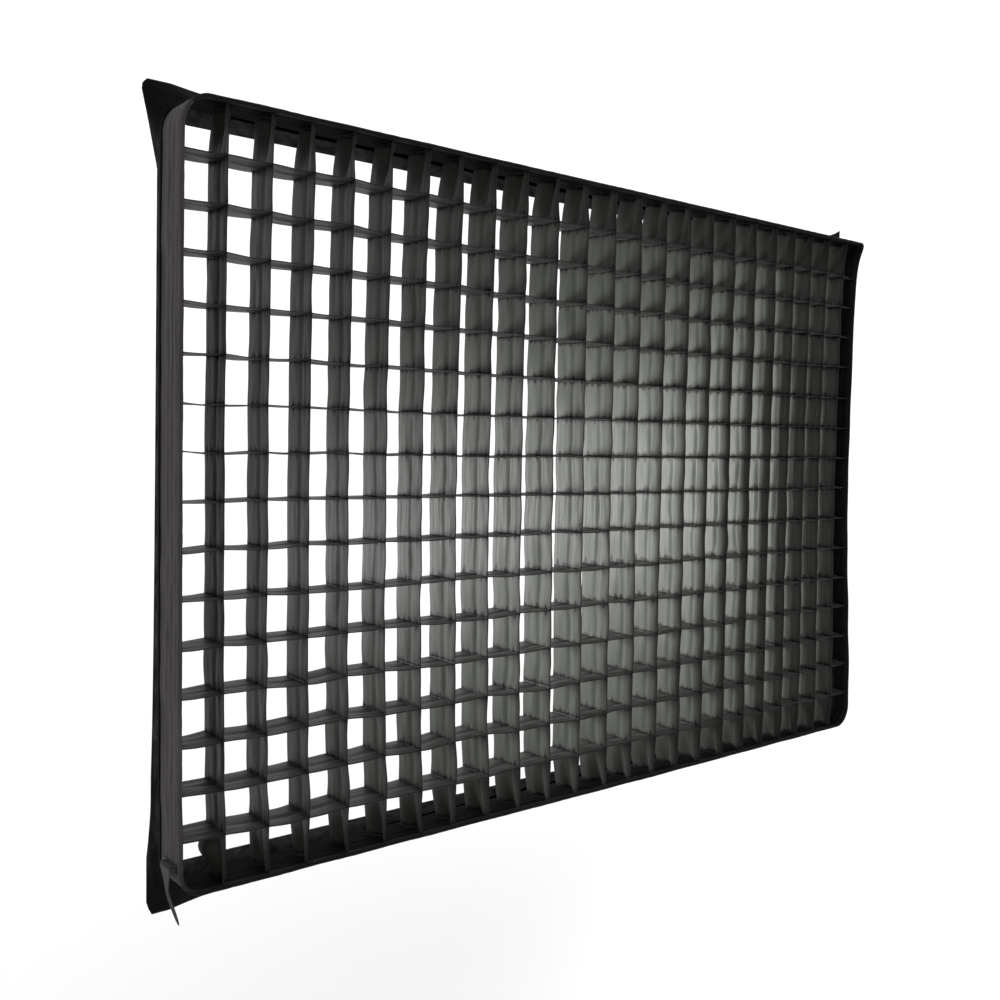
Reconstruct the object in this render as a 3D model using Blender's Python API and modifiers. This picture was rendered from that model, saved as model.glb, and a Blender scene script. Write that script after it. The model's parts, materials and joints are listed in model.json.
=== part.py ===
"""Fabric egg-crate grid for a large soft light: 24 by 16 cells inside a sewn band, with a flared rear skirt.

X is the width, +Z is up and the light leaves towards -Y. The origin is the middle of the rear plane, where the
hook tapes meet the light or its frame. Sizes are in metres.
"""

import math

import bmesh
import bpy

# Driving dimensions
PITCH = 0.0762  # one cell, three inches
COLUMNS = 24
ROWS = 16
CELL_DEPTH = 0.080
BLADE = 0.0010  # thickness of a blade
BAND = 0.0030  # thickness of the doubled band
CORNER_RADIUS = 0.027  # inside radius of the band's corners
GAP = 0.0003  # between pieces that touch

HOOP_RADIUS = 0.0015
BINDING_WALL = 0.0010
BINDING_REACH = 0.009  # how far the binding's outer side covers the band

SKIRT_DEPTH = 0.0340
SKIRT_FLARE = 0.0230
SKIRT_CLOTH = 0.0012
LIP_CLOTH = 0.0015
LIP_INSIDE = 0.011  # how far the lip reaches in past the cells' outer edge
TAPE_WIDTH = 0.025
TAPE = 0.0015

LOOP_PLATE = (0.050, 0.014, 0.0015)
LOOP_WIRE = 0.0015  # radius
LOOP_SPAN = 0.044
LOOP_RISE = 0.0049  # from the plate to the middle of the bar
LOOP_FROM_FRONT = 0.037  # the bar's middle, behind the band's front edge
LOOP_FROM_BOTTOM = 0.034  # the bar, above the cells' lower edge

TAB_WIDTH = 0.038  # of the eye that goes round the bar
TAB_CLOTH = 0.0018
TAB_EYE_INSIDE = 0.00185
TAB_EYE_OUTSIDE = 0.0036
TAB_NECK = ((-0.011, 0.037), (-0.0025, 0.041))  # its ends: rearwards and downwards of the bar's middle
TAB_TAIL = ((-0.036, 0.064), (-0.048, 0.079), (-0.033, 0.0675))  # shoulder, tip and shoulder

ARC_STEPS = 6
EYE_STEPS = 16

# Places worked out from them
WIDTH = COLUMNS * PITCH
HEIGHT = ROWS * PITCH
HALF_W = WIDTH / 2
HALF_H = HEIGHT / 2
TAPE_FRONT = -TAPE
LIP_BACK = TAPE_FRONT - GAP
LIP_FRONT = LIP_BACK - LIP_CLOTH
SKIRT_BACK = LIP_FRONT - GAP
SKIRT_FRONT = SKIRT_BACK - SKIRT_DEPTH
BAND_BACK = SKIRT_FRONT - GAP
BAND_FRONT = BAND_BACK - CELL_DEPTH
BAND_MIDDLE = (BAND_FRONT + BAND_BACK) / 2
HOOP_Y = BAND_FRONT - GAP - HOOP_RADIUS

DEEP_BLACK = (0.012, 0.012, 0.013, 1.0)
GREY_BLACK = (0.045, 0.042, 0.044, 1.0)
NYLON = (0.050, 0.051, 0.048, 1.0)


def clear_scene():
    for obj in list(bpy.data.objects):
        bpy.data.objects.remove(obj, do_unlink=True)


def collection(name, hidden=False):
    made = bpy.data.collections.new(name)
    bpy.context.scene.collection.children.link(made)
    made.hide_render = hidden
    return made


def material(name, colour, roughness, metallic=0.0):
    made = bpy.data.materials.new(name)
    made.use_nodes = True
    shader = made.node_tree.nodes["Principled BSDF"]
    shader.inputs["Base Color"].default_value = colour
    shader.inputs["Roughness"].default_value = roughness
    shader.inputs["Metallic"].default_value = metallic
    return made


def arc(cx, cz, radius, start, end, steps):
    """Points of an arc, from one angle in degrees to another."""
    turn = [math.radians(start + (end - start) * i / steps) for i in range(steps + 1)]
    return [(cx + radius * math.cos(a), cz + radius * math.sin(a)) for a in turn]


def rounded_rectangle(half_w, half_h, radius):
    corners = ((1, 1, 0), (-1, 1, 90), (-1, -1, 180), (1, -1, 270))
    points = []
    for sx, sz, start in corners:
        cx, cz = sx * (half_w - radius), sz * (half_h - radius)
        points += arc(cx, cz, radius, start, start + 90, ARC_STEPS)
    return points


def rectangle(half_w, half_h):
    return [(half_w, half_h), (-half_w, half_h), (-half_w, -half_h), (half_w, -half_h)]


def comb(low, high, spine, mouth, slots, half_slot):
    """A strip's outline. It runs from low to high, and its slots open at mouth and end halfway to the spine."""
    floor = (spine + mouth) / 2 + math.copysign(GAP / 2, spine - mouth)
    points = [(low, mouth), (low, spine), (high, spine), (high, mouth)]
    for at in reversed(slots):
        points += [
            (at + half_slot, mouth),
            (at + half_slot, floor),
            (at - half_slot, floor),
            (at - half_slot, mouth),
        ]
    return points


def flat_curve(name, outlines, thickness):
    """A 2D curve, filled and extruded. A second outline is a hole in the first."""
    curve = bpy.data.curves.new(name, "CURVE")
    curve.dimensions = "2D"
    curve.fill_mode = "BOTH"
    curve.extrude = thickness / 2
    for outline in outlines:
        spline = curve.splines.new("POLY")
        spline.points.add(len(outline) - 1)
        for point, (u, v) in zip(spline.points, outline):
            point.co = (u, v, 0.0, 1.0)
        spline.use_cyclic_u = True
    return bpy.data.objects.new(name, curve)


def wire_curve(name, points, radius, closed):
    curve = bpy.data.curves.new(name, "CURVE")
    curve.dimensions = "3D"
    curve.bevel_depth = radius
    curve.bevel_resolution = 2
    curve.use_fill_caps = not closed
    spline = curve.splines.new("POLY")
    spline.points.add(len(points) - 1)
    for point, co in zip(spline.points, points):
        point.co = (*co, 1.0)
    spline.use_cyclic_u = closed
    return bpy.data.objects.new(name, curve)


def as_mesh(curve_object):
    """The curve object as a welded mesh object, for a Boolean."""
    bpy.context.scene.collection.objects.link(curve_object)
    bpy.context.view_layer.update()
    evaluated = curve_object.evaluated_get(bpy.context.evaluated_depsgraph_get())
    mesh = bpy.data.meshes.new_from_object(evaluated)
    cage = bmesh.new()
    cage.from_mesh(mesh)
    bmesh.ops.remove_doubles(cage, verts=cage.verts, dist=0.000001)
    cage.to_mesh(mesh)
    cage.free()
    name, place = curve_object.name, curve_object.matrix_world.copy()
    bpy.data.objects.remove(curve_object, do_unlink=True)
    made = bpy.data.objects.new(name, mesh)
    made.matrix_world = place
    return made


def box(name, size):
    mesh = bpy.data.meshes.new(name)
    cage = bmesh.new()
    bmesh.ops.create_cube(cage, size=1.0)
    bmesh.ops.scale(cage, vec=size, verts=cage.verts)
    cage.to_mesh(mesh)
    cage.free()
    return bpy.data.objects.new(name, mesh)


def add(obj, finish, location=(0, 0, 0), rotation=(0, 0, 0), parent=None):
    obj.location = location
    obj.rotation_euler = [math.radians(angle) for angle in rotation]
    obj.data.materials.append(finish)
    obj.parent = parent
    grid.objects.link(obj)
    return obj


def join(obj, other):
    """Unites another solid with obj. The other one becomes a hidden cutter under the same parent."""
    helpers.objects.link(other)
    other.hide_render = True
    other.display_type = "WIRE"
    other.parent = obj.parent
    union = obj.modifiers.new("join_" + other.name, "BOOLEAN")
    union.operation = "UNION"
    union.object = other


def make_blades():
    """Vertical blades stay whole at the front, and horizontal ones at the back, where they half-lap."""
    half_slot = BLADE / 2 + GAP
    rows = [(i - ROWS / 2) * PITCH for i in range(1, ROWS)]
    columns = [(i - COLUMNS / 2) * PITCH for i in range(1, COLUMNS)]
    upright = comb(GAP - HALF_H, HALF_H - GAP, BAND_FRONT, BAND_BACK, rows, half_slot)
    across = comb(GAP - HALF_W, HALF_W - GAP, BAND_BACK, BAND_FRONT, columns, half_slot)
    for i, x in enumerate(columns, 1):
        blade = flat_curve(f"vertical_blade_{i:02d}", [[(y, z) for z, y in upright]], BLADE)
        add(blade, nylon, (x, 0, 0), (90, 0, 90))
    for i, z in enumerate(rows, 1):
        blade = flat_curve(f"horizontal_blade_{i:02d}", [across], BLADE)
        add(blade, nylon, (0, 0, z))


def make_band():
    outside = rounded_rectangle(HALF_W + BAND, HALF_H + BAND, CORNER_RADIUS + BAND)
    inside = rounded_rectangle(HALF_W, HALF_H, CORNER_RADIUS)
    band = flat_curve("perimeter_band", [outside, inside], CELL_DEPTH)
    add(band, webbing, (0, BAND_MIDDLE, 0), (90, 0, 0))


def make_front_edge():
    """The springy hoop in front of the band, and the folded tape that wraps both."""
    middle = BAND / 2
    path = rounded_rectangle(HALF_W + middle, HALF_H + middle, CORNER_RADIUS + middle)
    hoop = wire_curve("front_hoop", [(x, HOOP_Y, z) for x, z in path], HOOP_RADIUS, closed=True)
    add(hoop, steel)

    out = middle + GAP + BINDING_WALL
    nose = HOOP_Y - HOOP_RADIUS - GAP - BINDING_WALL
    wall = BINDING_WALL
    section = [
        (-out, nose),
        (out, nose),
        (out, BAND_FRONT + BINDING_REACH),
        (out - wall, BAND_FRONT + BINDING_REACH),
        (out - wall, nose + wall),
        (wall - out, nose + wall),
        (wall - out, BAND_FRONT - GAP),
        (-out, BAND_FRONT - GAP),
    ]
    profile = flat_curve("binding_section", [[(-u, -y) for u, y in reversed(section)]], 0)
    helpers.objects.link(profile)
    profile.hide_render = True
    binding = flat_curve("front_binding", [path], 0)
    binding.data.fill_mode = "NONE"
    binding.data.bevel_mode = "OBJECT"
    binding.data.bevel_object = profile
    add(binding, webbing, rotation=(90, 0, 0))


def skirt_panel(name, half_length, distance, angle):
    """One flared panel, made as the upper one and turned about Y to its side."""
    mesh = bpy.data.meshes.new(name)
    cage = bmesh.new()
    near, far = distance + BAND + GAP, distance + BAND + SKIRT_FLARE
    short, long = half_length + BAND, half_length + BAND + SKIRT_FLARE - GAP
    corners = (
        (-short, SKIRT_FRONT, near),
        (short, SKIRT_FRONT, near),
        (long, SKIRT_BACK, far),
        (-long, SKIRT_BACK, far),
    )
    cage.faces.new([cage.verts.new(corner) for corner in corners])
    cage.to_mesh(mesh)
    cage.free()
    panel = add(bpy.data.objects.new(name, mesh), coated, rotation=(0, angle, 0))
    shell = panel.modifiers.new("cloth", "SOLIDIFY")
    shell.thickness = SKIRT_CLOTH
    shell.offset = 1.0


def make_skirt():
    skirt_panel("skirt_top", HALF_W, HALF_H, 0)
    skirt_panel("skirt_right", HALF_H, HALF_W, 90)
    skirt_panel("skirt_bottom", HALF_W, HALF_H, 180)
    skirt_panel("skirt_left", HALF_H, HALF_W, 270)


def make_rear():
    reach = BAND + SKIRT_FLARE
    outside = rectangle(HALF_W + reach, HALF_H + reach)
    inside = rectangle(HALF_W - LIP_INSIDE, HALF_H - LIP_INSIDE)
    lip = flat_curve("rear_lip", [outside, inside], LIP_CLOTH)
    add(lip, coated, (0, (LIP_BACK + LIP_FRONT) / 2, 0), (90, 0, 0))

    across = (reach - LIP_INSIDE) / 2  # from the cells' edge to the middle of the lip
    tape_x, tape_z = HALF_W + across, HALF_H + across
    long_side = 2 * (tape_x + TAPE_WIDTH / 2)
    short_side = 2 * (tape_z - TAPE_WIDTH / 2 - GAP)
    for name, x, z, size in (
        ("hook_tape_top", 0, tape_z, (long_side, TAPE, TAPE_WIDTH)),
        ("hook_tape_bottom", 0, -tape_z, (long_side, TAPE, TAPE_WIDTH)),
        ("hook_tape_left", -tape_x, 0, (TAPE_WIDTH, TAPE, short_side)),
        ("hook_tape_right", tape_x, 0, (TAPE_WIDTH, TAPE, short_side)),
    ):
        add(box(name, size), hooks, (x, -TAPE / 2, z))


def corner_loop(parent):
    """A moulded loop on a plate. The parent's origin is the middle of the bar, and its +Z leaves the band."""
    foot = -LOOP_RISE - LOOP_PLATE[2] / 2
    plate = add(box("corner_loop", LOOP_PLATE), moulded, (0, 0, foot), parent=parent)
    bend = 2 * LOOP_WIRE
    half = LOOP_SPAN / 2
    right = arc(half - bend, -bend, bend, 0, 90, 3)
    left = arc(bend - half, -bend, bend, 90, 180, 3)
    path = [(half, 0, foot)] + [(x, 0, z) for x, z in right + left] + [(-half, 0, foot)]
    join(plate, as_mesh(wire_curve("loop_wire", path, LOOP_WIRE, closed=False)))


def pull_tab(parent):
    """Webbing sewn into an eye round the bar. It narrows to a neck, and its pointed tail leans forward."""
    turn = 360 - 360 / EYE_STEPS
    rings = [arc(0, 0, radius, 0, turn, EYE_STEPS - 1) for radius in (TAB_EYE_OUTSIDE, TAB_EYE_INSIDE)]
    eye = as_mesh(flat_curve("pull_tab", rings, TAB_WIDTH))
    add(eye, webbing, rotation=(90, 0, 90), parent=parent)
    top = (TAB_EYE_INSIDE + TAB_EYE_OUTSIDE) / 2
    half = TAB_WIDTH / 2 - 2 * GAP  # keeps the tail's sides off the eye's end faces
    outline = [(half, top), (-half, top), TAB_NECK[0], *TAB_TAIL, TAB_NECK[1]]
    join(eye, as_mesh(flat_curve("tab_tail", [outline], TAB_CLOTH)))


def pivot(name):
    """An empty at the middle of the bar. Its X runs rearwards along the bar and its Y points down."""
    empty = bpy.data.objects.new(name, None)
    out = HALF_W + BAND + GAP + LOOP_PLATE[2] + LOOP_RISE
    empty.location = (-out, BAND_FRONT + LOOP_FROM_FRONT, LOOP_FROM_BOTTOM - HALF_H)
    empty.rotation_euler = (-math.pi / 2, 0, math.pi / 2)
    grid.objects.link(empty)
    return empty


clear_scene()
grid = collection("fabric_egg_crate_grid")
helpers = collection("cutters", hidden=True)
nylon = material("black_nylon", NYLON, 0.55)
webbing = material("black_webbing", GREY_BLACK, 0.75)
coated = material("coated_fabric", DEEP_BLACK, 0.28)
hooks = material("hook_tape", DEEP_BLACK, 0.9)
moulded = material("moulded_plastic", DEEP_BLACK, 0.4)
steel = material("spring_steel", (0.45, 0.45, 0.46, 1.0), 0.35, metallic=1.0)
make_blades()
make_band()
make_front_edge()
make_skirt()
make_rear()
corner_loop(pivot("loop_place"))
pull_tab(pivot("tab_hinge"))
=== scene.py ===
"""The looks of the fabric egg-crate grid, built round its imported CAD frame. Sizes are in metres."""

import json
import math

import bpy
import numpy as np
from mathutils import Matrix, Vector


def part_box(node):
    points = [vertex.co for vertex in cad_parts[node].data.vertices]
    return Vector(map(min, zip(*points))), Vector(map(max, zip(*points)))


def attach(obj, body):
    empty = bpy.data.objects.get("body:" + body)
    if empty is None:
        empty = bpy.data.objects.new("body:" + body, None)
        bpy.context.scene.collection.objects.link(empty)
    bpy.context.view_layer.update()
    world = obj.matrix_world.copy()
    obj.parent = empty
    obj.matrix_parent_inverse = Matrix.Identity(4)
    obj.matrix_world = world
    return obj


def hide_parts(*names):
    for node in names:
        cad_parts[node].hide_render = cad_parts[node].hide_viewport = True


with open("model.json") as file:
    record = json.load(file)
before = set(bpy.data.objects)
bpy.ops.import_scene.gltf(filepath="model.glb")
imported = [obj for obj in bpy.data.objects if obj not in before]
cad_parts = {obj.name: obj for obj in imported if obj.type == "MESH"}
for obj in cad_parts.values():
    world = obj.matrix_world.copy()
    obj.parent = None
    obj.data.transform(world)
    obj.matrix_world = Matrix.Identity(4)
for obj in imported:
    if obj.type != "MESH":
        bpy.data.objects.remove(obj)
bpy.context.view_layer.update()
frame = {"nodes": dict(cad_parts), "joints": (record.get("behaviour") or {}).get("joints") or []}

PITCH = 0.0762  # one cell, 3 inches
COLUMNS = 24
ROWS = 16
HALF_W = COLUMNS * PITCH / 2
HALF_H = ROWS * PITCH / 2
RADIUS = 0.027  # inside the band's corners
BAND = 0.0030  # the band's thickness
BAND_MIDDLE = RADIUS + BAND / 2
BAND_OUT = RADIUS + BAND
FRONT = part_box("perimeter_band")[0].y
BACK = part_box("perimeter_band")[1].y
SKIRT_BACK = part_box("skirt_top")[1].y
LIP_Y = (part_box("rear_lip")[0].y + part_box("rear_lip")[1].y) / 2
TAPE_Y = (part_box("hook_tape_top")[0].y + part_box("hook_tape_top")[1].y) / 2
TAPE_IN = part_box("hook_tape_top")[0].z
TAPE_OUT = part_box("hook_tape_top")[1].z
LIP_INSIDE = 0.011  # the lip's inner edge, in from the band's inner face
FLARE = 0.023  # the skirt's usual reach past the band at the sides
WAVES = 6  # sine waves summed into one wandering line
UV = "cloth"


# ---------------------------------------------------------------- shape helpers
def smooth(t):
    """Rises from 0 to 1 with soft ends."""
    t = np.clip(t, 0, 1)
    return t * t * (3 - 2 * t)


def waves(t, seed, period):
    """A smooth wandering line between about -1 and 1. It is the same for the same seed."""
    rng = np.random.default_rng(seed)
    total = np.zeros_like(np.asarray(t, float))
    for _ in range(WAVES):
        length = period * rng.uniform(0.55, 1.9)
        total += np.sin(2 * np.pi * t / length + rng.uniform(0, 2 * np.pi))
    return total / math.sqrt(WAVES)


def bump(t, centre, width):
    """A rounded hill, 1 at its centre."""
    return np.exp(-(((t - centre) / width) ** 2))


def settle(points):
    """Moves the cloth as its own weight and tension do."""
    x, z = points[..., 0], points[..., 2]
    column = (x + HALF_W) / PITCH
    down = (HALF_H - z) / (2 * HALF_H)
    # the left columns lean, most at mid height
    lean = 0.0070 * smooth(column / 1.2) + 0.0060 * smooth(column / 6)
    lean = (lean + 0.003 * smooth((z + 0.52) / 0.08)) * (1 - smooth((column - 8) / 4))
    lean = -lean * (1 - 1.4 * np.minimum(z * z, 0.38))
    # the columns in between stand askew
    shear = (0.004 - np.where(z < 0, 0.018, 0.010) * z) * smooth(column / 12)
    shear = shear * (1 - smooth((column - 19) / 5))
    # the right side pulls in, below its top corner
    below = 1 - np.exp(-np.clip(down, 0, 1) * 2 * HALF_H / 0.040)
    side = smooth((x - 0.50) / (HALF_W - 0.50))
    pull = (0.010 + 0.030 * below * smooth((1.02 - down) / 0.62)) * side
    edge = 0.012 * (1 - down) + 0.012 * below * smooth((1 - down) / 0.45)
    pull = pull + edge * smooth((x - 0.84) / 0.075)
    # the rows sag
    below_top = HALF_H - z
    sag = (0.003 + 0.005 * smooth(column / 16)) * smooth(below_top / 0.10)
    sag = sag + 0.004 * bump(below_top, 0.09, 0.09) + 0.005 * smooth((-z - 0.54) / 0.07)
    # the blades turn a little, so that their rear edges move sideways
    depth = np.clip((points[..., 1] - FRONT) / (BACK - FRONT), 0, 1)
    turn = 0.004 * smooth(column) - 0.006 * smooth((column - 5) / 3)
    skew = depth * (turn + 0.002 * smooth((column - 11) / 4))
    moved = points.copy()
    moved[..., 0] += lean + shear + skew - pull
    moved[..., 2] -= sag
    return moved


def mesh_piece(name, points, quads, u, v):
    """An object from points, faces of four corners and the cloth coordinates of every corner."""
    mesh = bpy.data.meshes.new(name)
    mesh.from_pydata(points.reshape(-1, 3).tolist(), [], quads.reshape(-1, 4).tolist())
    mesh.uv_layers.new(name=UV).data.foreach_set("uv", np.stack([u, v], -1).reshape(-1))
    mesh.polygons.foreach_set("use_smooth", np.ones(len(mesh.polygons), bool))
    mesh.validate()
    piece = bpy.data.objects.new(name, mesh)
    bpy.context.scene.collection.objects.link(piece)
    return piece


def cloth(name, points, u, v, thickness, wrap=False):
    """A sheet from a grid of points, with cloth coordinates in metres.

    A wrapped one joins its last row of points to its first, and needs one more u."""
    nu, nv = points.shape[:2]
    i = np.arange(nu if wrap else nu - 1)[:, None]
    j = np.arange(nv - 1)[None, :]
    same, after = i + 0 * j, (i + 1) % nu + 0 * j
    quads = np.stack([same * nv + j, after * nv + j, after * nv + j + 1, same * nv + j + 1], -1)
    low, high = j + 0 * i, j + 1 + 0 * i
    u = np.stack([u[same], u[same + 1], u[same + 1], u[same]], -1)
    v = np.stack([v[low], v[low], v[high], v[high]], -1)
    piece = mesh_piece(name, points, quads, u, v)
    shell = piece.modifiers.new("thickness", "SOLIDIFY")
    shell.thickness = thickness
    shell.offset = 0
    return piece


def place(piece, finish, slot, *nodes, body="grid"):
    """Gives a piece its material and its body, and hides the CAD nodes that it stands for. Its slot is
    not used.
    """
    piece.data.materials.append(finish)
    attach(piece, body)
    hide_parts(*nodes)


# ---------------------------------------------------------------- materials
class Shader:
    """A Principled material whose colour, roughness and bump are built from the cloth coordinates."""

    def __init__(self, name, uv=True, **settings):
        self.material = bpy.data.materials.new(name)
        self.material.use_nodes = True
        self.tree = self.material.node_tree
        self.surface = self.tree.nodes["Principled BSDF"]
        for key, value in settings.items():
            self.surface.inputs[key.replace("_", " ")].default_value = value
        if uv:
            source = self.tree.nodes.new("ShaderNodeUVMap")
            source.uv_map = UV
            self.place = source.outputs["UV"]
        else:
            self.place = self.tree.nodes.new("ShaderNodeTexCoord").outputs["Object"]
        split = self.tree.nodes.new("ShaderNodeSeparateXYZ")
        self.tree.links.new(self.place, split.inputs[0])
        self.u, self.v = split.outputs["X"], split.outputs["Y"]

    def link(self, value, socket):
        if isinstance(value, bpy.types.NodeSocket):
            self.tree.links.new(value, socket)
        else:
            socket.default_value = value

    def math(self, operation, a, b=0.0):
        node = self.tree.nodes.new("ShaderNodeMath")
        node.operation = operation
        self.link(a, node.inputs[0])
        self.link(b, node.inputs[1])
        return node.outputs[0]

    def ramp(self, value, low, high, to_low=0.0, to_high=1.0):
        node = self.tree.nodes.new("ShaderNodeMapRange")
        node.interpolation_type = "SMOOTHSTEP"
        self.link(value, node.inputs["Value"])
        node.inputs["From Min"].default_value = low
        node.inputs["From Max"].default_value = high
        node.inputs["To Min"].default_value = to_low
        node.inputs["To Max"].default_value = to_high
        return node.outputs["Result"]

    def noise(self, scale, detail=2.0, stretch=(1, 1, 1), rough=0.5):
        mapping = self.tree.nodes.new("ShaderNodeMapping")
        mapping.inputs["Scale"].default_value = stretch
        self.tree.links.new(self.place, mapping.inputs["Vector"])
        node = self.tree.nodes.new("ShaderNodeTexNoise")
        node.inputs["Scale"].default_value = scale
        node.inputs["Detail"].default_value = detail
        node.inputs["Roughness"].default_value = rough
        self.tree.links.new(mapping.outputs["Vector"], node.inputs["Vector"])
        return node.outputs["Fac"]

    def weave(self, period_u, period_v):
        """Threads over and under, from -1 to 1."""
        a = self.math("SINE", self.math("MULTIPLY", self.u, 2 * math.pi / period_u))
        b = self.math("SINE", self.math("MULTIPLY", self.v, 2 * math.pi / period_v))
        return self.math("MULTIPLY", a, b)

    def colour(self, dark, light, mix, shade=None):
        """Mixes the base colour from two, and dims it where a shade is given."""
        node = self.tree.nodes.new("ShaderNodeMix")
        node.data_type = "RGBA"
        self.link(mix, node.inputs["Factor"])
        node.inputs["A"].default_value = (*dark, 1)
        node.inputs["B"].default_value = (*light, 1)
        out = node.outputs["Result"]
        if shade is not None:
            dim = self.tree.nodes.new("ShaderNodeVectorMath")
            dim.operation = "SCALE"
            self.tree.links.new(out, dim.inputs[0])
            self.link(shade, dim.inputs["Scale"])
            out = dim.outputs["Vector"]
        self.tree.links.new(out, self.surface.inputs["Base Color"])

    def relief(self, *heights):
        """Adds heights in metres into one bump."""
        total = heights[0]
        for height in heights[1:]:
            total = self.math("ADD", total, height)
        node = self.tree.nodes.new("ShaderNodeBump")
        node.inputs["Strength"].default_value = 1.0
        node.inputs["Distance"].default_value = 1.0
        self.tree.links.new(total, node.inputs["Height"])
        self.tree.links.new(node.outputs["Normal"], self.surface.inputs["Normal"])


def nylon(name, length, light):
    """Thin black nylon with streaks and a sewn line at each crossing. Near each crossing it is darker,
    partly from the seam's thread and partly as painted shade where the blades meet, and it is darker
    along its front edge.

    It is darker at both ends of the blade's length, next to the band, as painted shade."""
    s = Shader(name, Sheen_Weight=0.04, Sheen_Roughness=0.45, Specular_IOR_Level=0.10)
    streak = s.noise(1.0, 3.0, (7, 170, 1))
    cloudy = s.noise(1.0, 2.0, (12, 24, 1))
    # darker near each crossing: partly the seam's thread, partly painted shade where the blades meet,
    # reaching out in short drips
    to_seam = s.math("PINGPONG", s.u, PITCH / 2)
    seam_shade_drips = s.math("POWER", s.noise(1.0, 1.0, (25, 95, 1)), 3.0)
    seam_shade_reach = s.math("SUBTRACT", to_seam, s.math("MULTIPLY", seam_shade_drips, 0.034))
    seam = s.ramp(seam_shade_reach, -0.0036, 0.0050, 0.0, 1.0)
    # darker along the front edge: down to a quarter at 3 mm, back to full at 18 mm, wandering a little
    to_front_edge = s.math("ADD", s.v, s.math("MULTIPLY", cloudy, 0.006))
    hem = s.ramp(to_front_edge, 0.003, 0.018, 0.25, 1.0)
    mix = s.math("ADD", s.math("MULTIPLY", streak, 0.35), s.math("MULTIPLY", cloudy, 0.65))
    # painted shade: the colour dims to 0.40 over the last 45 to 90 mm at each end, next to the band
    ends = s.ramp(s.math("PINGPONG", s.u, length / 2), 0.045, 0.090, 0.40, 1.0)
    clear = s.math("MULTIPLY", seam, hem)
    clear = s.math("MULTIPLY", clear, s.ramp(mix, 0.20, 0.75, 0.66, 1.0))
    clear = s.math("MULTIPLY", clear, ends)
    # the first colour is the one that the painted shade at the ends and crossings, and the strip along
    # the front edge, fade to
    s.colour((0.0110, 0.0088, 0.0086), light, clear)
    s.link(s.ramp(streak, 0.3, 0.7, 0.58, 0.44), s.surface.inputs["Roughness"])
    stitch = s.math("MULTIPLY", s.ramp(to_seam, 0.0, 0.0026, -1.0, 0.0), 0.0008)
    threads = s.math("MULTIPLY", s.weave(0.0009, 0.0009), 0.000018)
    s.relief(s.math("MULTIPLY", streak, 0.00024), threads, stitch)
    return s.material


def webbing(name="black_webbing", shade=None, lit_left_only=False, sheen=0.04, gloss=0.10):
    """Webbing with lengthwise ribs, fine cross threads and rows of stitches.

    One that is lit on the left only keeps its full colour there, on the last fifth of its length, and
    elsewhere is dimmed to a fifth as painted shade."""
    s = Shader(name, Sheen_Weight=sheen, Sheen_Roughness=0.5, Specular_IOR_Level=gloss)
    ribs = s.math("SINE", s.math("MULTIPLY", s.v, 2 * math.pi / 0.0042))
    fade = s.noise(1.0, 3.0, (7, 150, 1))
    fibre = s.noise(1.0, 2.0, (500, 1200, 1))
    mix = s.math("ADD", s.math("MULTIPLY", fade, 0.7), s.math("MULTIPLY", fibre, 0.3))
    if lit_left_only:
        # painted shade: all but the left run is dimmed, as the light falls from the left
        shade = s.ramp(s.u, 4.80, 4.92, 0.20, 1.0)
    s.colour((0.020, 0.0175, 0.0180), (0.046, 0.041, 0.042), s.ramp(mix, 0.32, 0.68), shade)
    s.link(s.ramp(fibre, 0.3, 0.7, 0.85, 0.62), s.surface.inputs["Roughness"])
    dash = s.math("SINE", s.math("MULTIPLY", s.u, 2 * math.pi / 0.0036))
    to_row = s.math("PINGPONG", s.math("SUBTRACT", s.v, 0.007), 0.033)
    row = s.ramp(to_row, 0.0004, 0.0009, 1.0, 0.0)
    stitches = s.math("MULTIPLY", s.math("MULTIPLY", s.math("MAXIMUM", dash, 0.0), row), 0.0004)
    threads = s.math("MULTIPLY", s.weave(0.0013, 0.0021), 0.00006)
    s.relief(s.math("MULTIPLY", ribs, 0.00016), threads, stitches)
    return s.material


def coated(name="coated_fabric", painted_light_at=None):
    """Glossy coated cloth: soft crinkles, a fine weave under the coating and, if asked, a strip made up
    to forty times paler as painted light.
    """
    s = Shader(name, Specular_IOR_Level=0.0, Coat_Weight=0.07, Coat_Roughness=0.12)
    crinkle = s.noise(1.0, 4.0, (38, 70, 1), 0.55)
    fine = s.noise(1.0, 3.0, (300, 300, 1))
    dark, light = (0.0012, 0.0011, 0.0012), (0.0032, 0.0030, 0.0032)
    # painted light: from the given distance across, the colour rises up to forty times
    hem = s.ramp(s.v, painted_light_at, painted_light_at + 0.002, 1, 40) if painted_light_at else None
    s.colour(dark, light, s.ramp(crinkle, 0.3, 0.7), hem)
    s.link(s.ramp(fine, 0.3, 0.7, 0.30, 0.46), s.surface.inputs["Roughness"])
    threads = s.math("MULTIPLY", s.weave(0.0011, 0.0011), 0.000012)
    s.relief(s.math("MULTIPLY", crinkle, 0.0016), s.math("MULTIPLY", fine, 0.00008), threads)
    return s.material


def hooks():
    """Hook tape: a field of tiny hooks between two plain woven edges."""
    s = Shader("hook_tape", Specular_IOR_Level=0.10, Sheen_Weight=0.03, Sheen_Roughness=0.6)
    field = s.weave(0.0016, 0.0014)
    ragged = s.noise(1.0, 2.0, (900, 900, 1))
    edge = s.ramp(s.math("PINGPONG", s.v, (TAPE_OUT - TAPE_IN) / 2), 0.0020, 0.0028)
    hook = s.math("MULTIPLY", s.math("MULTIPLY", field, edge), 0.0005)
    s.colour((0.006, 0.006, 0.0065), (0.028, 0.027, 0.029), s.ramp(ragged, 0.3, 0.7))
    s.link(s.ramp(ragged, 0.3, 0.7, 0.92, 0.7), s.surface.inputs["Roughness"])
    s.relief(hook, s.math("MULTIPLY", ragged, 0.0003))
    return s.material


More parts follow.
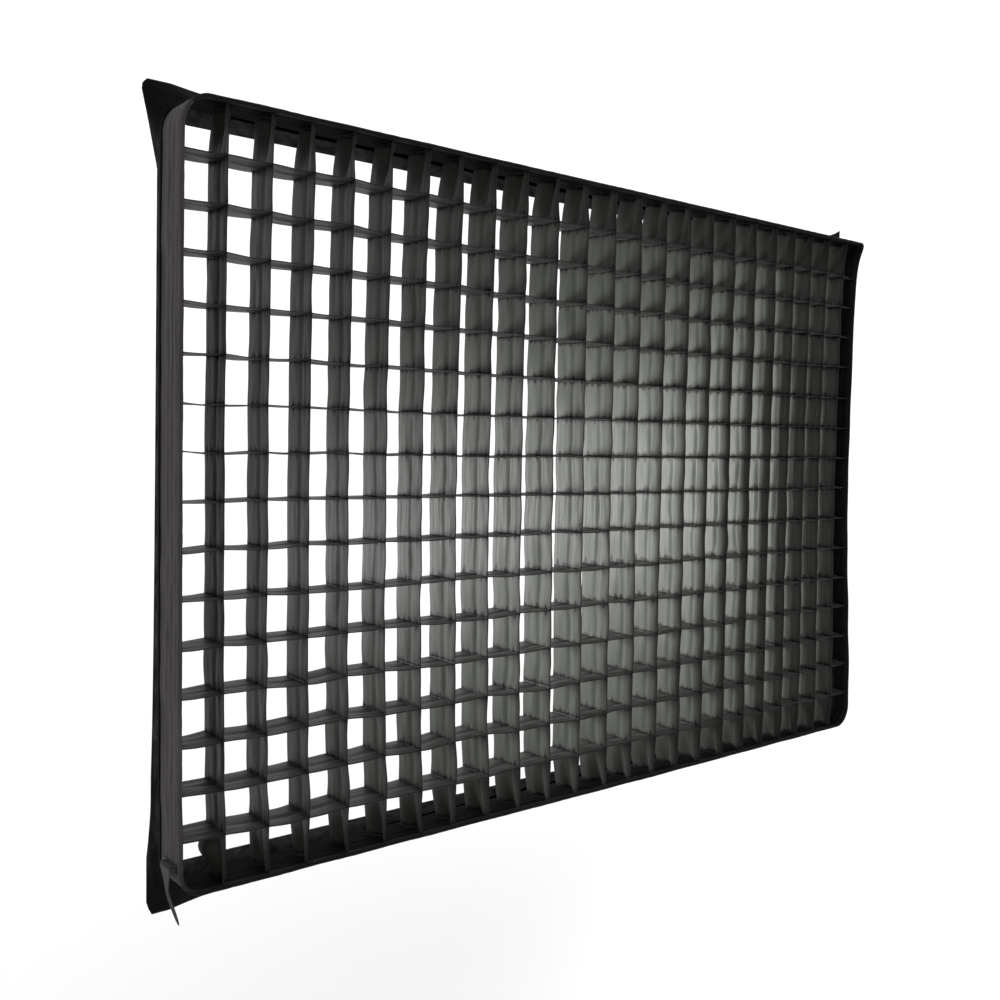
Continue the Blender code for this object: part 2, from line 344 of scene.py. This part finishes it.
def moulded():
    """Satin moulded plastic with a fine spark texture and slight scuffs."""
    s = Shader("moulded_plastic", uv=False, Specular_IOR_Level=0.25)
    spark = s.noise(2200.0, 2.0)
    scuff = s.noise(160.0, 4.0, (1, 3, 1))
    s.colour((0.008, 0.008, 0.0085), (0.022, 0.0215, 0.022), s.ramp(scuff, 0.45, 0.75))
    s.link(s.ramp(scuff, 0.35, 0.75, 0.36, 0.58), s.surface.inputs["Roughness"])
    s.relief(s.math("MULTIPLY", spark, 0.00005))
    return s.material


def spring_steel():
    """Drawn spring steel with fine lines along the rod."""
    s = Shader("spring_steel", Metallic=1.0)
    lines = s.noise(1.0, 3.0, (20, 2500, 1))
    s.colour((0.30, 0.30, 0.31), (0.55, 0.55, 0.56), s.ramp(lines, 0.3, 0.7))
    s.link(s.ramp(lines, 0.3, 0.7, 0.28, 0.45), s.surface.inputs["Roughness"])
    s.relief(s.math("MULTIPLY", lines, 0.00002))
    return s.material


# ---------------------------------------------------------------- blades
END_GAP = 0.0008  # between a blade's end and the band
UPRIGHT_STEPS, LEVEL_STEPS = 11, 9  # samples along one cell
UPRIGHT_CLOTH, LEVEL_CLOTH = 0.0007, 0.0010  # thickness
GATHERS = 4  # across the blade, at each sewn line
GATHER_REACH = 0.0080
PLEAT = 0.0008  # how deep a pleat is


def crossings():
    """How far each crossing lies off its place: sideways and up, for every column and row line.

    It is most in the low rows, and nothing on the band."""
    rng = np.random.default_rng(41)
    sideways = rng.normal(0, 0.0005, (COLUMNS + 1, ROWS + 1))
    up = rng.normal(0, 0.0011, (COLUMNS + 1, ROWS + 1))
    up *= 1 + 0.9 * smooth((ROWS / 2 - np.arange(ROWS + 1)) / (ROWS / 2))[None, :]
    sideways[[0, -1], :] = 0
    up[:, [0, -1]] = 0
    most_sideways, most_up = 0.0025, 0.0045
    sideways = np.clip(sideways, -most_sideways, most_sideways)
    return sideways, np.clip(up, -most_up, most_up)


def between(values, cell, part):
    """Runs smoothly from the value at one crossing to the next."""
    return values[cell] + (values[cell + 1] - values[cell]) * smooth(part)


def puckers(along, across, lines, rng, height):
    """Short gathers on both sides of each sewn line."""
    total = np.zeros((len(along), len(across)))
    for line in lines:
        near = np.abs(along - line) < 3.5 * GATHER_REACH
        for centre in (np.arange(GATHERS) + rng.uniform(0.2, 0.8, GATHERS)) / GATHERS:
            size = height * rng.uniform(0.3, 1.2) * rng.choice((-1, 1), p=(0.35, 0.65))
            length = GATHER_REACH * rng.uniform(0.6, 1.3)
            share = bump(along[near], line, length)[:, None]
            total[near] += size * share * bump(across, centre, rng.uniform(0.022, 0.042))[None, :]
    return total


def blade_relief(along, across, cells, seed, height, fold_at, loose, gathers):
    """The out-of-plane shape of a blade: slack in each cell, a long fold, two pleats and gathers.

    The height scales the slack, fold and pleats, and the looseness the slack alone."""
    rng = np.random.default_rng(seed)
    steps = along / PITCH
    cell = np.clip(np.floor(steps).astype(int), 0, cells - 1)
    part = steps - cell
    slack = np.sin(np.pi * part)
    size = np.clip(rng.normal(0, 0.0005, cells), -0.0011, 0.0011) * height
    lean = rng.normal(0, 0.0007, cells) * height
    v = across[None, :]
    shape = (slack * size[cell] * loose)[:, None] * (0.75 + 0.5 * np.abs(v - 0.5))
    shape = shape + (slack * lean[cell] * loose)[:, None] * (v - 0.5)
    wander = fold_at + 0.025 * waves(along, seed + 1, 0.35)
    wander = wander + 0.012 * rng.normal(0, 1, cells)[cell] * slack
    deep = height * (0.0024 + 0.0006 * waves(along, seed + 2, 0.25)) * (0.70 + 0.30 * slack)
    shape = shape + deep[:, None] * bump(v, wander[:, None], 0.085)
    # place beside the fold, seed, how often it wanders and swells, and width
    pleats = ((-0.27, seed + 3, 0.22, 0.15, 0.07), (0.30, seed + 5, 0.25, 0.18, 0.09))
    for beside, first, wanders, swells, width in pleats:
        middle = fold_at + beside + 0.04 * waves(along, first, wanders)
        swell = height * PLEAT * waves(along, first + 1, swells)
        shape = shape + swell[:, None] * bump(v, middle[:, None], width)
    lines = PITCH * np.arange(1, cells)
    return shape + puckers(along, across, lines, rng, gathers)


def end_gather(along, cells):
    """1 at a blade's sewn ends, falling to 0 at the first crossing."""
    steps = along / PITCH
    return np.clip(np.maximum(1 - steps, steps - (cells - 1)), 0, 1)


def vertical_blade(index, finish, sideways):
    """One blade from the bottom band to the top one, narrower and pinched at its sewn ends."""
    along = np.linspace(END_GAP, 2 * HALF_H - END_GAP, ROWS * UPRIGHT_STEPS + 1)
    across = np.linspace(0, 1, 27)
    rng = np.random.default_rng(900 + index)
    height = along - HALF_H
    loose = 1 + 0.9 * smooth(-height / HALF_H)
    folded = 1 + 0.7 * smooth((index - 11) / 8)
    out = blade_relief(along, across, ROWS, 100 + 10 * index, folded, 0.42, loose, 0.0019)
    cell = np.clip(np.floor(along / PITCH).astype(int), 0, ROWS - 1)
    out += between(sideways[index], cell, along / PITCH - cell)[:, None]
    end = end_gather(along, ROWS)
    low = height < 0
    pocket = np.where(low, rng.uniform(0.010, 0.019), rng.uniform(0.013, 0.022)) * end**1.2
    centre = np.where(low, rng.uniform(0.42, 0.60), rng.uniform(0.42, 0.58))
    out += pocket[:, None] * bump(across[None, :], centre[:, None], 0.20)
    if index == 1:  # the crumpled end beside the corner
        out -= 0.016 * bump(height, -0.568, 0.020)[:, None] * smooth((across - 0.45) / 0.3)[None, :]
    side = rng.uniform(-0.004, 0.004)
    out += (end**2 * side)[:, None] * (across[None, :] - 0.5) * 2
    front, back = 0.04 * end**1.4, np.where(low, 0.17, 0.20) * end**1.4
    depth = front[:, None] + (1 - front - back)[:, None] * across[None, :]
    y = FRONT + (BACK - FRONT) * depth + (0.0007 * waves(along, 700 + index, 0.09))[:, None]
    x = PITCH * index - HALF_W + out
    points = np.stack([x, y, height[:, None] + 0 * x], -1)
    name = f"vertical_blade_cloth_{index:02d}"
    piece = cloth(name, settle(points), along, across * (BACK - FRONT), UPRIGHT_CLOTH)
    place(piece, finish, "black_nylon", f"vertical_blade_{index:02d}")


def horizontal_blade(index, finish, up):
    """One blade from the left band to the right one. It hangs through a little in each cell."""
    along = np.linspace(END_GAP, 2 * HALF_W - END_GAP, COLUMNS * LEVEL_STEPS + 1)
    across = np.linspace(0, 1, 19)
    height = PITCH * index - HALF_H
    loose = np.full_like(along, 1 + 0.6 * smooth(-height / HALF_H))
    out = -blade_relief(along, across, COLUMNS, 3000 + 10 * index, 0.85, 0.50, loose, 0.0009)
    cell = np.clip(np.floor(along / PITCH).astype(int), 0, COLUMNS - 1)
    part = along / PITCH - cell
    out += between(up[:, index], cell, part)[:, None]
    out -= (0.0009 * np.sin(np.pi * part))[:, None]
    end = end_gather(along, COLUMNS)
    out += (0.004 * end**1.5)[:, None] * bump(across[None, :], 0.5, 0.2)
    pinch = 1 - 0.10 * end**1.4
    depth = (across[None, :] - 0.5) * pinch[:, None] + 0.5
    y = FRONT + (BACK - FRONT) * depth + (0.0008 * waves(along, 1700 + index, 0.08))[:, None]
    x = along[:, None] - HALF_W + 0 * out
    points = np.stack([x, y, height + out], -1)
    name = f"horizontal_blade_cloth_{index:02d}"
    piece = cloth(name, settle(points), along, across * (BACK - FRONT), LEVEL_CLOTH)
    place(piece, finish, "black_nylon", f"horizontal_blade_{index:02d}")


# ---------------------------------------------------------------- the rim
def rim_path():
    """Samples round the rim, clockwise from the middle of the top left corner.

    It returns the line that the band's inner radius is measured from, the same line for square corners,
    the outward directions, and the index of the middle of each corner."""
    hx, hz = HALF_W - RADIUS, HALF_H - RADIUS
    middles, plain, normals, marks = [], [], [], []
    # sideways, upwards, direction of the middle in degrees, and inner radius
    corners = ((-1, 1, 135, 0.046), (1, 1, 45, 0.020), (1, -1, -45, 0.048), (-1, -1, -135, 0.036))
    step = 0.0085

    def arc(corner, start, stop, last):
        sx, sz, _, radius = corners[corner]
        angles = np.radians(np.linspace(start, stop, 7))
        for angle in angles if last else angles[:-1]:
            turn = np.array([math.cos(angle), math.sin(angle)])
            centre = np.array([sx * (HALF_W - radius), sz * (HALF_H - radius)])
            middles.append(centre + turn * (radius - RADIUS))
            plain.append((sx * hx, sz * hz))
            normals.append(turn)

    for k, (_, _, middle, _) in enumerate(corners):
        marks.append(len(middles))
        arc(k, middle, middle - 45, True)
        sx, sz, _, radius = corners[(k + 1) % 4]
        start = middles[-1]
        stop = np.array([sx * (HALF_W - radius), sz * (HALF_H - radius)])
        stop = stop + normals[-1] * (radius - RADIUS)
        count = int(np.linalg.norm(stop - start) / step)
        for t in np.linspace(0, 1, count + 1)[1:-1]:
            middles.append(start + (stop - start) * t)
            plain.append(np.clip(middles[-1], (-hx, -hz), (hx, hz)))
            normals.append(normals[-1])
        arc((k + 1) % 4, middle - 45, middle - 90, False)
    return np.array(middles), np.array(plain), np.array(normals), marks + [len(middles)]


def rim_length(middles, normals, radius):
    """How far along the rim each sample is, with the whole length last."""
    ring = middles + normals * radius
    ring = np.vstack([ring, ring[:1]])
    return np.concatenate([[0], np.cumsum(np.linalg.norm(np.diff(ring, axis=0), axis=1))])


def round_rim(middles, normals, radius, depth):
    """Points at a distance outwards and a depth back, for every sample of the rim."""
    ring = middles[:, None, :] + normals[:, None, :] * radius[..., None]
    return np.stack([ring[..., 0], depth + 0 * ring[..., 0], ring[..., 1]], -1)


def squared(normals):
    """The outward directions stretched onto a square, so that an arc becomes a sharp corner."""
    return normals / np.abs(normals).max(axis=1, keepdims=True)


def flares(middles, square=np.zeros(2)):
    """How far the skirt's rear edge stands out past the band: sideways, and up or down.

    The square directions say how far round its corner a point is."""
    x, z = middles[:, 0], middles[:, 1]
    from_top, from_bottom = HALF_H - z, HALF_H + z
    from_left, from_right = HALF_W + x, HALF_W - x
    left = -0.010 + 0.029 * np.clip(1 - (from_top + 0.043 - 0.070 * square[..., 1]) / 0.130, 0, 1)
    left = left + 0.013 * np.exp(-from_bottom / 0.30) + 0.009 * np.exp(-from_bottom / 0.06)
    right = 0.006 + 0.080 * np.exp(-from_top / 0.06) + 0.020 * np.exp(-from_bottom / 0.06)
    top = 0.021 + 0.020 * np.exp(-from_left / 0.12)
    top = top + 0.056 * np.exp(-(from_right + 0.070 * (1 - np.abs(square[..., 0]))) / 0.05)
    bottom = 0.022 + 0.038 * np.exp(-from_left / 0.42) + 0.010 * np.exp(-from_left / 0.05)
    bottom = bottom + 0.018 * np.exp(-from_right / 0.05)
    return np.where(x < 0, left, right), np.where(z > 0, top, bottom)


def rear_edge(middles, normals):
    """The skirt's rear edge, with small cut corners."""
    square = squared(normals)
    most = np.where(middles[:, :1] < 0, 1.80, 2.0)
    cut = np.minimum(1, most / np.abs(square).sum(axis=1, keepdims=True))
    sideways, upright = flares(middles, square)
    out = BAND_OUT * square + square * np.stack([sideways, upright], -1)
    return middles + out * cut


def band(finish, middles, normals):
    """The band: raised ribs run along it, and it waves a little between the blades' ends."""
    across = np.linspace(0, 1, 41)
    s = rim_length(middles, normals, BAND_MIDDLE)
    wave = 0.0009 * waves(s[:-1], 51, 0.16)
    rib, groove = 0.0007, 0.0006
    ribs = sum(rib * bump(across, at, 0.035) for at in (0.22, 0.42, 0.62, 0.84))
    ribs = ribs - groove * bump(across, 0.52, 0.02) - groove * bump(across, 0.32, 0.02)
    lift = wave[:, None] * (0.4 + 0.6 * np.sin(np.pi * across))[None, :] + ribs[None, :]
    lift = lift + 0.0005 * waves(s[:-1], 52, 0.07)[:, None] * waves(across, 53, 0.4)[None, :]
    depth = FRONT + (BACK - FRONT) * across[None, :]
    points = round_rim(middles, normals, BAND_MIDDLE + lift, depth)
    piece = cloth("band_cloth", settle(points), s, across * (BACK - FRONT), 0.0026, wrap=True)
    place(piece, finish, "black_webbing", "perimeter_band")
    # the second side of the band's thickness gets the same webbing, dimmed to 0.22 and without sheen:
    # painted shade on the band's inner face
    piece.data.materials.append(webbing("webbing_inner_shaded", 0.22, sheen=0.0, gloss=0.02))
    piece.modifiers["thickness"].material_offset = 1


def closed_tube(name, points, s, around):
    """A tube from rings of points that close both ways."""
    nu, nv = points.shape[:2]
    i, j = np.meshgrid(np.arange(nu), np.arange(nv), indexing="ij")
    i2, j2 = (i + 1) % nu, (j + 1) % nv
    quads = np.stack([i * nv + j, i * nv + j2, i2 * nv + j2, i2 * nv + j], -1)
    u = np.stack([s[i], s[i], s[i + 1], s[i + 1]], -1)
    v = np.stack([around[j], around[j + 1], around[j + 1], around[j]], -1)
    return mesh_piece(name, points, quads, u, v)


def front_edge(finish, steel, middles, normals):
    """The springy hoop and the tape folded over it and over the band's front edge."""
    s = rim_length(middles, normals, BAND_MIDDLE)
    mm = 0.001
    # outwards from the band's middle and back from its front edge
    outline = [
        (2.4, 9.0), (2.6, 5.0), (2.7, 1.0), (2.6, -1.2), (2.0, -2.6), (1.0, -3.4), (0.0, -3.7),
        (-1.0, -3.4), (-2.0, -2.6), (-2.6, -1.2), (-2.7, 1.0), (-2.6, 5.0), (-2.4, 9.0),
        (-1.6, 9.0), (-1.6, 0.0), (-1.5, -1.6), (-0.8, -2.7), (0.8, -2.7), (1.5, -1.6), (1.6, 0.0),
        (1.6, 9.0),
    ]
    section = np.array([(q * mm, FRONT + y * mm) for q, y in outline])
    steps = np.diff(np.vstack([section, section[:1]]), axis=0)
    around = np.concatenate([[0], np.cumsum(np.linalg.norm(steps, axis=1))])
    radius = BAND_MIDDLE + section[:, 0][None, :]
    pull = 0.0005 * waves(s[:-1], 61, 0.05)[:, None]
    outside = np.sign(section[:, 0])[None, :]
    outer = (np.abs(section[:, 0]) > 0.0019)[None, :]
    radius = radius + np.where(outer, outside * np.abs(pull) * 0.6, 0)
    depth = section[:, 1][None, :] + 0.0006 * waves(s[:-1], 62, 0.11)[:, None]
    points = round_rim(middles, normals, radius, depth)
    piece = closed_tube("binding_tape", settle(points), s, around)
    place(piece, finish, "black_webbing", "front_binding")

    turn = np.linspace(0, 2 * np.pi, 11)[:-1]
    rod = 0.0015
    rod_y = FRONT - 0.0010
    depth = rod_y + rod * np.sin(turn)[None, :]
    points = round_rim(middles, normals, BAND_MIDDLE + rod * np.cos(turn)[None, :], depth)
    piece = closed_tube("front_hoop_rod", settle(points), s, np.linspace(0, 2 * np.pi * rod, 11))
    place(piece, steel, "spring_steel", "front_hoop")


def skirt(finish, middles, plain, normals, marks):
    """Four panels that meet in mitred seams. Each lies on the band for a seam's width, then flares.

    Folds start at the corners and fade along the sides."""
    s = rim_length(middles, normals, BAND_OUT)
    hem = rear_edge(plain, normals)
    thick = 0.0011
    off_band = 0.0014  # half the cloth, the band's ribs and a gap
    seam = 0.008
    deep = SKIRT_BACK - 0.0006 - BACK
    across = np.linspace(0, 1, 19)
    free = np.clip((across * (deep + seam) - seam) / deep, 0, 1)
    names = ("top", "right", "bottom", "left")
    for k, name in enumerate(names):
        pick = np.arange(marks[k], marks[k + 1] + 1) % len(middles)
        length = s[marks[k] : marks[k + 1] + 1]
        front = middles[pick] + normals[pick] * (BAND_OUT + off_band)
        rear = hem[pick]
        t = free[None, :, None]
        ring = front[:, None, :] * (1 - t) + rear[:, None, :] * t
        wrinkle = 0.0016 * waves(length, 71 + k, 0.10) + 0.0012 * waves(length, 81 + k, 0.045)
        ends = np.minimum(length - length[0], length[-1] - length)
        wrinkle = wrinkle * smooth(ends / 0.02) + 0.0035 * bump(ends, 0.035, 0.018)
        shape = np.sin(np.pi * free)[None, :] * (wrinkle[:, None] - 0.0022)
        ring = ring + normals[pick][:, None, :] * shape[..., None]
        depth = BACK - seam + (deep + seam) * across[None, :]
        depth = depth + 0 * ring[..., 0] - 0.0012 * shape / 0.004
        points = np.stack([ring[..., 0], depth, ring[..., 1]], -1)
        span = float(np.linalg.norm(rear - front, axis=1).mean())
        wide = seam + math.hypot(span, deep)
        piece = cloth(f"skirt_cloth_{name}", settle(points), length, across * wide, thick)
        place(piece, finish, "coated_fabric", f"skirt_{name}")


def lip(finish, middles, normals):
    """The rear frame of cloth. Its sides follow the skirt. Its inner edge shows through the top row."""
    outer = rear_edge(middles, normals)
    across = np.linspace(0, 1, 9)
    inner = inner_edge(middles, normals)
    off_sides = 1 - smooth((np.abs(middles[:, 0]) - 0.86) / 0.03)
    inner[:, 1] -= 0.006 * smooth(middles[:, 1] / 0.3) * off_sides
    t = across[None, :, None]
    ring = outer[:, None, :] * (1 - t) + inner[:, None, :] * t
    s = rim_length(middles, normals, BAND_OUT)
    ripple = 0.0006 * waves(s[:-1], 91, 0.09)[:, None] * across[None, :]
    points = np.stack([ring[..., 0], LIP_Y - 0.0002 - np.abs(ripple), ring[..., 1]], -1)
    wide = float(np.linalg.norm(outer - inner, axis=1).mean())
    piece = cloth("rear_lip_cloth", settle(points), s, across * wide, 0.0012, wrap=True)
    place(piece, finish, "coated_fabric", "rear_lip")


def side_shift(z, left):
    """How far the rear frame's side moves in, where the skirt flares less than at the corners."""
    side = np.stack([np.full_like(z, -HALF_W if left else HALF_W), z], -1)
    return np.minimum(flares(side)[0] - FLARE, 0)


def inner_edge(middles, normals):
    """The lip's inner edge, with square corners."""
    square = squared(normals)
    inside = middles + square * (RADIUS - LIP_INSIDE)
    x, z = middles[:, 0], middles[:, 1]
    move = np.where(x < 0, side_shift(z, True), side_shift(z, False))
    inside[:, 0] += square[:, 0] * move
    return inside


def hook_tapes(finish):
    """The four strips on the back of the lip."""
    side_out = TAPE_OUT + HALF_W - HALF_H
    side_in = TAPE_IN + HALF_W - HALF_H
    across = np.linspace(0, 1, 5)
    for name, sign in (("top", 1), ("bottom", -1)):
        corner = np.array([sign * (HALF_H - RADIUS)])
        ends = [side_out - 0.008 + float(side_shift(corner, left)[0]) for left in (True, False)]
        along = np.linspace(-ends[0], ends[1], 160)
        z = sign * (TAPE_IN + (TAPE_OUT - TAPE_IN) * across[None, :]) + 0 * along[:, None]
        x = along[:, None] + 0 * z
        if sign > 0:
            x, z = x[::-1], z[::-1]
        strip(f"hook_tape_strip_{name}", x, z, along, across, finish, f"hook_tape_{name}")
    for name, sign in (("left", -1), ("right", 1)):
        along = np.linspace(-(TAPE_IN - 0.0004), TAPE_IN - 0.0004, 120)
        x = sign * (side_in + (side_out - side_in) * across[None, :])
        x = x + sign * side_shift(along, sign < 0)[:, None]
        z = along[:, None] + 0 * x
        strip(f"hook_tape_strip_{name}", x, z, along, across, finish, f"hook_tape_{name}")


def strip(name, x, z, along, across, finish, node):
    """One length of hook tape. Its cloth coordinate along is kept above 0."""
    points = np.stack([x, TAPE_Y + 0 * x, z], -1)
    piece = cloth(name, settle(points), along + 2, across * (TAPE_OUT - TAPE_IN), 0.0014)
    place(piece, finish, "hook_tape", node)


# ---------------------------------------------------------------- the pull tab
def pull_tab(finish):
    """Webbing wrapped round the loop's bar, sewn down, narrowed to a neck and cut to a point."""
    bar = Vector(next(joint["pos_m"] for joint in frame["joints"] if joint["name"] == "tab_hinge"))
    rows, outward = [], []
    wrap = 0.00275  # from the bar's middle to the webbing's
    wide = 0.036
    for angle in np.linspace(math.radians(300), 0, 15):
        rows.append((wrap * math.sin(angle), -0.0183, 0.0183))  # down, and both edges along the bar
        outward.append(wrap * math.cos(angle))
    outline = np.array([
        (0.0040, -0.0180, 0.0180), (0.0150, -0.0158, 0.0112), (0.0260, -0.0134, 0.0044),
        (0.0370, -0.0120, -0.0010), (0.0450, -0.0200, -0.0060), (0.0550, -0.0300, -0.0160),
        (0.0640, -0.0385, -0.0265), (0.0720, -0.0445, -0.0370), (0.0785, -0.0485, -0.0470),
    ])
    sewn, tip = outline[0, 0], outline[-1, 0]
    for down in np.linspace(sewn, tip, 34):
        low = np.interp(down, outline[:, 0], outline[:, 1])
        high = np.interp(down, outline[:, 0], outline[:, 2])
        rows.append((down, low, high))
        outward.append(wrap * math.exp(-down / 0.012) + 0.0016 * math.sin(down / tip * math.pi))
    rows, outward = np.array(rows), np.array(outward)
    across = np.linspace(0, 1, 13)
    y = rows[:, 1][:, None] + (rows[:, 2] - rows[:, 1])[:, None] * across[None, :]
    curl = 0.0015 * smooth((rows[:, 0] - 0.03) / 0.05)[:, None] * (across[None, :] - 0.5)
    x = -(outward[:, None] + curl)
    points = np.stack([bar.x + x, bar.y + y, bar.z - rows[:, 0][:, None] + 0 * y], -1)
    steps = np.linalg.norm(np.diff(points[:, len(across) // 2, :], axis=0), axis=1)
    length = np.concatenate([[0], np.cumsum(steps)])
    piece = cloth("pull_tab_webbing", points, length, across * wide, 0.0015)
    place(piece, finish, "black_webbing", "pull_tab", body="tab")
    edge = piece.modifiers.new("soft_edge", "BEVEL")
    edge.width = 0.0004
    edge.segments = 2
    edge.limit_method = "ANGLE"


# ---------------------------------------------------------------- stage, lights and camera
def stage():
    """A wide pale floor."""
    mesh = bpy.data.meshes.new("floor")
    wide, low = 60, -1.25
    corners = [(-wide, -wide, low), (wide, -wide, low), (wide, wide, low), (-wide, wide, low)]
    mesh.from_pydata(corners, [], [(0, 1, 2, 3)])
    floor = bpy.data.objects.new("floor", mesh)
    bpy.context.scene.collection.objects.link(floor)
    paint = bpy.data.materials.new("pale_floor")
    paint.use_nodes = True
    surface = paint.node_tree.nodes["Principled BSDF"]
    surface.inputs["Base Color"].default_value = (0.97, 0.97, 0.97, 1)
    surface.inputs["Roughness"].default_value = 0.9
    mesh.materials.append(paint)


def lamp(name, location, target, width, radius, power):
    """A soft round light, brightest along its middle. Its width is in degrees, its power in watts."""
    light = bpy.data.lights.new(name, "SPOT")
    light.spot_size = math.radians(width)
    light.spot_blend = 1.0
    light.shadow_soft_size = radius
    light.energy = power
    stand = bpy.data.objects.new(name, light)
    stand.location = location
    stand.rotation_euler = (Vector(target) - Vector(location)).to_track_quat("-Z", "Y").to_euler()
    bpy.context.scene.collection.objects.link(stand)


def lights():
    """A white room, and two lamps behind the grid that light the rear part of the right hand blades."""
    world = bpy.data.worlds.new("studio")
    world.use_nodes = True
    room = world.node_tree.nodes["Background"]
    room.inputs["Color"].default_value = (1, 1, 1, 1)
    room.inputs["Strength"].default_value = 1.12
    bpy.context.scene.world = world
    bpy.context.scene.view_settings.view_transform = "Standard"
    lamp("back_left", (-0.90, 0.80, -0.14), (0.70, -0.08, -0.13), 84, 0.26, 188)
    lamp("back_side", (-0.62, 0.66, -0.02), (0.95, -0.08, -0.02), 54, 0.16, 175)


def camera():
    """The view from the front left: its place, heading, tilt and roll."""
    yaw, pitch, roll = (math.radians(a) for a in (39.77, -3.73, 1.31))
    heading = Vector((math.sin(yaw), math.cos(yaw), 0))
    right = Vector((math.cos(yaw), -math.sin(yaw), 0))
    up = Vector((0, 0, 1))
    forward = math.cos(pitch) * heading + math.sin(pitch) * up
    top = -math.sin(pitch) * heading + math.cos(pitch) * up
    side = math.cos(roll) * right + math.sin(roll) * top
    top = -math.sin(roll) * right + math.cos(roll) * top
    # so many cells left of, in front of and below the grid's top left corner
    spot = Vector((-HALF_W - 8.993 * PITCH, FRONT - 20.639 * PITCH, HALF_H - 6.488 * PITCH))
    lens = bpy.data.cameras.new("camera")
    lens.sensor_width = 36
    lens.lens = 39.25
    lens.shift_y = 0.003
    lens.clip_end = 200
    eye = bpy.data.objects.new("camera", lens)
    axes = Matrix((side, top, -forward)).transposed()
    eye.matrix_world = Matrix.Translation(spot) @ axes.to_4x4()
    bpy.context.scene.collection.objects.link(eye)
    bpy.context.scene.camera = eye


camera()
stage()
lights()
upright_nylon = nylon("upright_nylon", 2 * HALF_H, (0.0560, 0.0605, 0.0535))
# the level blades are the same nylon in a darker colour: painted shade, as they catch less of the lamps
level_nylon_shaded = nylon("level_nylon_shaded", 2 * HALF_W, (0.0400, 0.0415, 0.0375))
black_webbing = webbing()
coated_fabric = coated()
hook_tape = hooks()
middles, plain, normals, marks = rim_path()
# the binding is dimmed everywhere but on the left as painted shade
binding = webbing("webbing_binding", lit_left_only=True, sheen=0.02, gloss=0.05)
front_edge(binding, spring_steel(), middles, normals)
band(black_webbing, middles, normals)
skirt(coated_fabric, middles, plain, normals, marks)
hook_tapes(hook_tape)
# the lip's inner strip is made paler as painted light
lip(coated("lip_fabric_lit_edge", 0.020), plain, normals)
sideways, up = crossings()
for index in range(1, COLUMNS):
    vertical_blade(index, upright_nylon, sideways)
for index in range(1, ROWS):
    horizontal_blade(index, level_nylon_shaded, up)
pull_tab(black_webbing)
loop = frame["nodes"]["corner_loop"]
loop.data.materials.clear()
loop.data.materials.append(moulded())
